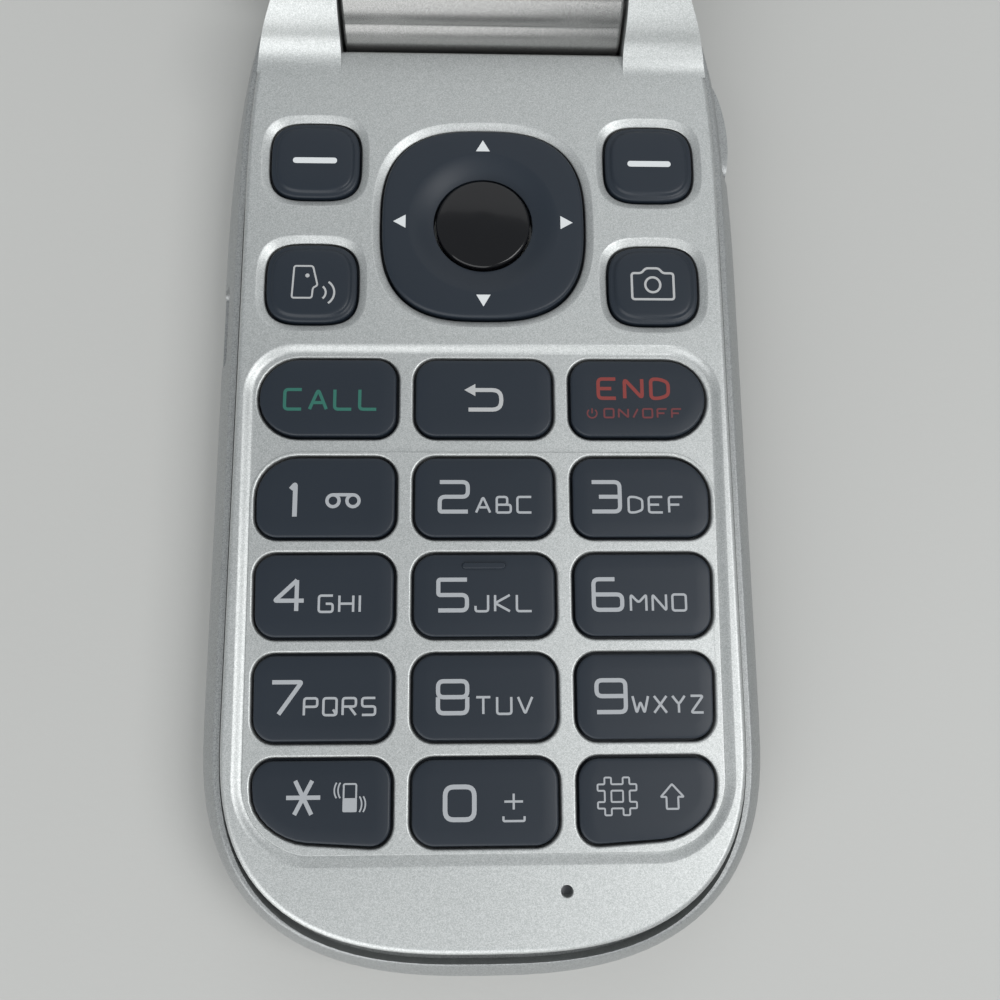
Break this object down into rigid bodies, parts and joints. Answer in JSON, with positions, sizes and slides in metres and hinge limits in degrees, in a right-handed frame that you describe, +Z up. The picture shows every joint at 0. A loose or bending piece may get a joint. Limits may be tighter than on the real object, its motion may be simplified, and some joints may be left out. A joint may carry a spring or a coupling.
{
  "type": "flip phone",
  "caption": "Clamshell mobile phone with a silver keypad base, dark keys, a navigation ring and a display lid that folds shut.",
  "frame": {"origin": "centre of the flat resting face under the keypad base, on the phone's centre line", "axes": "+X to the right of the keypad, +Y from the chin towards the hinge, +Z up out of the keypad; the lid is open at rest"},
  "size_m": [0.0511, 0.1818, 0.0412],
  "materials": {
    "silver_paint": "silver metallic lacquer on moulded plastic, fine sparkle, satin",
    "grey_paint": "grey metallic lacquer on moulded plastic, satin",
    "key_plastic": "slate moulded plastic, fine matt texture",
    "ok_gloss": "polished black",
    "battery_label": "aluminium can in a printed-free dark sleeve",
    "contacts": "gold-plated spring contacts in a block",
    "board": "glass-fibre circuit board",
    "shield": "tinned sheet steel",
    "dome_film": "white film over metal domes",
    "silicone": "translucent silicone rubber",
    "component": "black moulded component",
    "motor_steel": "plain steel",
    "bush_plastic": "black acetal",
    "flex": "amber flexible circuit",
    "display": "display panel, switched off",
    "window_gloss": "polished window, black backed",
    "rubber": "black rubber"
  },
  "bodies": {
    "base": {"front_housing": "silver_paint", "rear_housing": "grey_paint", "battery": "battery_label", "battery_contacts": "contacts", "main_board": "board", "shield_cans": "shield", "dome_sheet": "dome_film", "keypad_mat": "silicone", "microphone": "component", "loudspeaker": "component", "vibration_motor": "motor_steel", "antenna": "component", "sim_holder": "shield", "usb_connector": "shield", "volume_switch": "component", "base_screws": "motor_steel", "hinge_shaft": "motor_steel", "hinge_bush": "bush_plastic"},
    "lid": {"lid_inner_housing": "grey_paint", "lid_outer_housing": "silver_paint", "hinge_cam_housing": "motor_steel", "lid_flex_cable": "flex", "display_panel": "display", "display_window": "window_gloss", "sub_display_panel": "display", "sub_display_window": "window_gloss", "lid_board": "board", "earpiece": "component", "camera_module": "component", "camera_window": "window_gloss", "lid_bumpers": "rubber", "lid_screws": "motor_steel", "lid_screw_caps": "rubber", "lid_magnet": "motor_steel"},
    "cover": {"battery_cover": "grey_paint"},
    "soft_left_key": {"soft_left_key": "key_plastic"},
    "soft_right_key": {"soft_right_key": "key_plastic"},
    "voice_key": {"voice_key": "key_plastic"},
    "camera_key": {"camera_key": "key_plastic"},
    "call_key": {"call_key": "key_plastic"},
    "back_key": {"back_key": "key_plastic"},
    "end_key": {"end_key": "key_plastic"},
    "key_1": {"key_1": "key_plastic"},
    "key_2": {"key_2": "key_plastic"},
    "key_3": {"key_3": "key_plastic"},
    "key_4": {"key_4": "key_plastic"},
    "key_5": {"key_5": "key_plastic"},
    "key_6": {"key_6": "key_plastic"},
    "key_7": {"key_7": "key_plastic"},
    "key_8": {"key_8": "key_plastic"},
    "key_9": {"key_9": "key_plastic"},
    "key_star": {"key_star": "key_plastic"},
    "key_0": {"key_0": "key_plastic"},
    "key_hash": {"key_hash": "key_plastic"},
    "ok_key": {"ok_key": "ok_gloss"},
    "nav_pivot": {"nav_pivot": "silicone"},
    "nav_ring": {"nav_ring": "key_plastic"},
    "volume_rocker": {"volume_rocker": "key_plastic"}
  },
  "joints": [
    {"name": "lid_hinge", "type": "hinge", "parent": "base", "child": "lid", "pos_m": [0, 0.0438, 0.0107], "axis": [1, 0, 0], "range_deg": [0, 160]},
    {"name": "cover_slide", "type": "slide", "parent": "base", "child": "cover", "axis": [0, -1, 0], "range_m": [0, 0.09]},
    {"name": "soft_left_key_press", "type": "slide", "parent": "base", "child": "soft_left_key", "axis": [0, 0, -1], "range_m": [0, 0.00035], "stiffness_N_per_m": 400},
    {"name": "soft_right_key_press", "type": "slide", "parent": "base", "child": "soft_right_key", "axis": [0, 0, -1], "range_m": [0, 0.00035], "stiffness_N_per_m": 400},
    {"name": "voice_key_press", "type": "slide", "parent": "base", "child": "voice_key", "axis": [0, 0, -1], "range_m": [0, 0.00035], "stiffness_N_per_m": 400},
    {"name": "camera_key_press", "type": "slide", "parent": "base", "child": "camera_key", "axis": [0, 0, -1], "range_m": [0, 0.00035], "stiffness_N_per_m": 400},
    {"name": "call_key_press", "type": "slide", "parent": "base", "child": "call_key", "axis": [0, 0, -1], "range_m": [0, 0.00035], "stiffness_N_per_m": 400},
    {"name": "back_key_press", "type": "slide", "parent": "base", "child": "back_key", "axis": [0, 0, -1], "range_m": [0, 0.00035], "stiffness_N_per_m": 400},
    {"name": "end_key_press", "type": "slide", "parent": "base", "child": "end_key", "axis": [0, 0, -1], "range_m": [0, 0.00035], "stiffness_N_per_m": 400},
    {"name": "key_1_press", "type": "slide", "parent": "base", "child": "key_1", "axis": [0, 0, -1], "range_m": [0, 0.00035], "stiffness_N_per_m": 400},
    {"name": "key_2_press", "type": "slide", "parent": "base", "child": "key_2", "axis": [0, 0, -1], "range_m": [0, 0.00035], "stiffness_N_per_m": 400},
    {"name": "key_3_press", "type": "slide", "parent": "base", "child": "key_3", "axis": [0, 0, -1], "range_m": [0, 0.00035], "stiffness_N_per_m": 400},
    {"name": "key_4_press", "type": "slide", "parent": "base", "child": "key_4", "axis": [0, 0, -1], "range_m": [0, 0.00035], "stiffness_N_per_m": 400},
    {"name": "key_5_press", "type": "slide", "parent": "base", "child": "key_5", "axis": [0, 0, -1], "range_m": [0, 0.00035], "stiffness_N_per_m": 400},
    {"name": "key_6_press", "type": "slide", "parent": "base", "child": "key_6", "axis": [0, 0, -1], "range_m": [0, 0.00035], "stiffness_N_per_m": 400},
    {"name": "key_7_press", "type": "slide", "parent": "base", "child": "key_7", "axis": [0, 0, -1], "range_m": [0, 0.00035], "stiffness_N_per_m": 400},
    {"name": "key_8_press", "type": "slide", "parent": "base", "child": "key_8", "axis": [0, 0, -1], "range_m": [0, 0.00035], "stiffness_N_per_m": 400},
    {"name": "key_9_press", "type": "slide", "parent": "base", "child": "key_9", "axis": [0, 0, -1], "range_m": [0, 0.00035], "stiffness_N_per_m": 400},
    {"name": "key_star_press", "type": "slide", "parent": "base", "child": "key_star", "axis": [0, 0, -1], "range_m": [0, 0.00035], "stiffness_N_per_m": 400},
    {"name": "key_0_press", "type": "slide", "parent": "base", "child": "key_0", "axis": [0, 0, -1], "range_m": [0, 0.00035], "stiffness_N_per_m": 400},
    {"name": "key_hash_press", "type": "slide", "parent": "base", "child": "key_hash", "axis": [0, 0, -1], "range_m": [0, 0.00035], "stiffness_N_per_m": 400},
    {"name": "ok_key_press", "type": "slide", "parent": "base", "child": "ok_key", "axis": [0, 0, -1], "range_m": [0, 0.00035], "stiffness_N_per_m": 400},
    {"name": "nav_tilt_x", "type": "hinge", "parent": "base", "child": "nav_pivot", "pos_m": [0, 0.01945, 0.0082], "axis": [1, 0, 0], "range_deg": [-1.5, 1.5], "stiffness_Nm_per_rad": 0.08},
    {"name": "nav_tilt_y", "type": "hinge", "parent": "nav_pivot", "child": "nav_ring", "pos_m": [0, 0.01945, 0.0082], "axis": [0, 1, 0], "range_deg": [-1.5, 1.5], "stiffness_Nm_per_rad": 0.08},
    {"name": "volume_rock", "type": "hinge", "parent": "base", "child": "volume_rocker", "pos_m": [0.0234, 0.031, 0.007], "axis": [0, 0, 1], "range_deg": [-3, 3], "stiffness_Nm_per_rad": 0.08}
  ]
}
